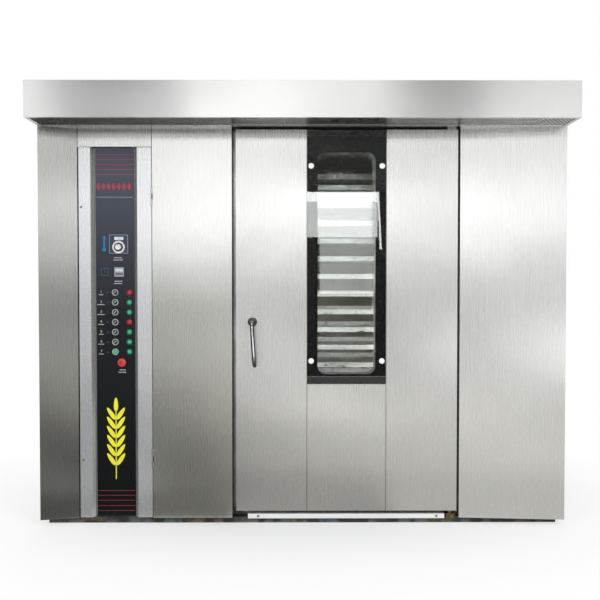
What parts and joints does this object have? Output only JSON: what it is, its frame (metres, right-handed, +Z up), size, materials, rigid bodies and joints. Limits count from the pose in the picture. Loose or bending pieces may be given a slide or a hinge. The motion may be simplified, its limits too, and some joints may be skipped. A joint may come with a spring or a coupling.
{
  "type": "rotating rack oven",
  "caption": "Walk-in bakery oven with a windowed door, a driven rack of trays that turns inside, a control door with selectors and lamps, and a steam hood along the front",
  "frame": {"origin": "centre of the bounding box's footprint, on the floor", "axes": "X runs to the right along the front, Y runs from the front to the back, Z runs up"},
  "size_m": [2.6, 1.74, 2.376],
  "materials": {
    "frame_members": "plain",
    "chamber_floor": "brushed",
    "chamber_lining": "brushed",
    "duct_plates": "brushed",
    "door_surround": "brushed",
    "insulation_slabs": "plain",
    "casing_panels": "brushed",
    "roof_panel": "brushed",
    "front_corner_panel": "brushed",
    "front_mid_panel": "brushed",
    "front_right_panel": "brushed",
    "control_header": "brushed",
    "hood_shell": "brushed",
    "hood_grille": "brushed",
    "electrical_plate": "plain",
    "heat_exchanger": "brushed",
    "burner": "plain",
    "steam_generator": "plain",
    "fan_motor": "plain",
    "fan_belt": "plain",
    "rack_gearmotor": "plain",
    "flue_pipe": "brushed",
    "door_sill": "satin",
    "door_hardware": "plain",
    "door_left_section": "brushed",
    "door_centre_panel": "brushed",
    "door_right_section": "brushed",
    "door_lining": "plain",
    "window_glass": "clear",
    "window_mask": "plain",
    "door_fittings": "polished",
    "door_gasket": "plain",
    "handle_lever": "polished",
    "latch_cam": "polished",
    "rack_hook": "brushed",
    "rack_sides": "brushed",
    "rack_top": "brushed",
    "rack_base": "brushed",
    "trays": "satin",
    "castor_fork_1": "polished",
    "castor_fork_2": "polished",
    "castor_wheel_1": "plain",
    "castor_wheel_2": "plain",
    "castor_wheel_3": "plain",
    "castor_wheel_4": "plain",
    "fan_rotor": "brushed",
    "motor_pulley": "plain",
    "control_door_pan": "brushed",
    "control_fascia": "plain",
    "instruments": "plain",
    "pilot_lamps": "plain",
    "start_button": "plain",
    "estop_button": "plain",
    "temperature_dial": "plain",
    "selector_1": "plain",
    "selector_2": "plain",
    "selector_3": "plain",
    "selector_4": "plain",
    "selector_5": "plain",
    "selector_6": "plain"
  },
  "bodies": {
    "oven": {"frame_members": "frame_members", "chamber_floor": "chamber_floor", "chamber_lining": "chamber_lining", "duct_plates": "duct_plates", "door_surround": "door_surround", "insulation_slabs": "insulation_slabs", "casing_panels": "casing_panels", "roof_panel": "roof_panel", "front_corner_panel": "front_corner_panel", "front_mid_panel": "front_mid_panel", "front_right_panel": "front_right_panel", "control_header": "control_header", "hood_shell": "hood_shell", "hood_grille": "hood_grille", "electrical_plate": "electrical_plate", "heat_exchanger": "heat_exchanger", "burner": "burner", "steam_generator": "steam_generator", "fan_motor": "fan_motor", "fan_belt": "fan_belt", "rack_gearmotor": "rack_gearmotor", "flue_pipe": "flue_pipe", "door_sill": "door_sill", "door_hardware": "door_hardware"},
    "door": {"door_left_section": "door_left_section", "door_centre_panel": "door_centre_panel", "door_right_section": "door_right_section", "door_lining": "door_lining", "window_glass": "window_glass", "window_mask": "window_mask", "door_fittings": "door_fittings", "door_gasket": "door_gasket"},
    "handle": {"handle_lever": "handle_lever", "latch_cam": "latch_cam"},
    "rack": {"rack_hook": "rack_hook", "rack_sides": "rack_sides", "rack_top": "rack_top", "rack_base": "rack_base", "trays": "trays"},
    "front_left_castor": {"castor_fork_1": "castor_fork_1"},
    "front_right_castor": {"castor_fork_2": "castor_fork_2"},
    "front_left_wheel": {"castor_wheel_1": "castor_wheel_1"},
    "front_right_wheel": {"castor_wheel_2": "castor_wheel_2"},
    "rear_left_wheel": {"castor_wheel_3": "castor_wheel_3"},
    "rear_right_wheel": {"castor_wheel_4": "castor_wheel_4"},
    "fan": {"fan_rotor": "fan_rotor"},
    "motor_drive": {"motor_pulley": "motor_pulley"},
    "control_door": {"control_door_pan": "control_door_pan", "control_fascia": "control_fascia", "instruments": "instruments", "pilot_lamps": "pilot_lamps"},
    "start": {"start_button": "start_button"},
    "emergency_stop": {"estop_button": "estop_button"},
    "dial": {"temperature_dial": "temperature_dial"},
    "switch_1": {"selector_1": "selector_1"},
    "switch_2": {"selector_2": "selector_2"},
    "switch_3": {"selector_3": "selector_3"},
    "switch_4": {"selector_4": "selector_4"},
    "switch_5": {"selector_5": "selector_5"},
    "switch_6": {"selector_6": "selector_6"}
  },
  "joints": [
    {"name": "door_hinge", "type": "hinge", "parent": "oven", "child": "door", "pos_m": [0.741, -0.606, 1], "axis": [0, 0, 1], "range_deg": [0, 110]},
    {"name": "handle_turn", "type": "hinge", "parent": "door", "child": "handle", "pos_m": [-0.25, -0.63, 1.012], "axis": [0, -1, 0], "range_deg": [0, 90]},
    {"name": "rack_spin", "type": "hinge", "parent": "oven", "child": "rack", "pos_m": [0.2195, 0.11446, 1], "axis": [0, 0, 1], "continuous": true},
    {"name": "front_left_swivel", "type": "hinge", "parent": "rack", "child": "front_left_castor", "pos_m": [-0.1465, -0.12954, 0.19], "axis": [0, 0, 1], "continuous": true},
    {"name": "front_left_roll", "type": "hinge", "parent": "front_left_castor", "child": "front_left_wheel", "pos_m": [-0.1465, -0.09754, 0.12], "axis": [1, 0, 0], "continuous": true},
    {"name": "rear_left_roll", "type": "hinge", "parent": "rack", "child": "rear_left_wheel", "pos_m": [-0.1465, 0.35846, 0.12], "axis": [1, 0, 0], "continuous": true},
    {"name": "front_right_swivel", "type": "hinge", "parent": "rack", "child": "front_right_castor", "pos_m": [0.5855, -0.12954, 0.19], "axis": [0, 0, 1], "continuous": true},
    {"name": "front_right_roll", "type": "hinge", "parent": "front_right_castor", "child": "front_right_wheel", "pos_m": [0.5855, -0.09754, 0.12], "axis": [1, 0, 0], "continuous": true},
    {"name": "rear_right_roll", "type": "hinge", "parent": "rack", "child": "rear_right_wheel", "pos_m": [0.5855, 0.35846, 0.12], "axis": [1, 0, 0], "continuous": true},
    {"name": "fan_spin", "type": "hinge", "parent": "oven", "child": "fan", "pos_m": [-0.56333, 0.48362, 2], "axis": [0, 0, 1], "continuous": true},
    {"name": "motor_spin", "type": "hinge", "parent": "oven", "child": "motor_drive", "pos_m": [-0.56333, 0.72362, 2.34], "axis": [0, 0, 1], "continuous": true},
    {"name": "control_door_hinge", "type": "hinge", "parent": "oven", "child": "control_door", "pos_m": [-0.749, -0.6343, 1], "axis": [0, 0, 1], "range_deg": [0, 100]},
    {"name": "switch_1_turn", "type": "hinge", "parent": "control_door", "child": "switch_1", "pos_m": [-0.936, -0.612, 1.159], "axis": [0, 1, 0], "range_deg": [0, 90]},
    {"name": "switch_2_turn", "type": "hinge", "parent": "control_door", "child": "switch_2", "pos_m": [-0.936, -0.612, 1.1095], "axis": [0, 1, 0], "range_deg": [0, 90]},
    {"name": "switch_3_turn", "type": "hinge", "parent": "control_door", "child": "switch_3", "pos_m": [-0.936, -0.612, 1.06], "axis": [0, 1, 0], "range_deg": [0, 90]},
    {"name": "switch_4_turn", "type": "hinge", "parent": "control_door", "child": "switch_4", "pos_m": [-0.936, -0.612, 1.0105], "axis": [0, 1, 0], "range_deg": [0, 90]},
    {"name": "switch_5_turn", "type": "hinge", "parent": "control_door", "child": "switch_5", "pos_m": [-0.936, -0.612, 0.961], "axis": [0, 1, 0], "range_deg": [0, 90]},
    {"name": "switch_6_turn", "type": "hinge", "parent": "control_door", "child": "switch_6", "pos_m": [-0.936, -0.612, 0.9115], "axis": [0, 1, 0], "range_deg": [0, 90]},
    {"name": "dial_turn", "type": "hinge", "parent": "control_door", "child": "dial", "pos_m": [-0.917, -0.612, 1.385], "axis": [0, 1, 0], "range_deg": [-150, 150]},
    {"name": "start_press", "type": "slide", "parent": "control_door", "child": "start", "axis": [0, 1, 0], "range_m": [0, 0.004], "stiffness_N_per_m": 400},
    {"name": "stop_press", "type": "slide", "parent": "control_door", "child": "emergency_stop", "axis": [0, 1, 0], "range_m": [0, 0.006]}
  ],
  "couplings": [
    {"joint": "motor_spin", "follows": "fan_spin", "ratio": 1.6}
  ]
}
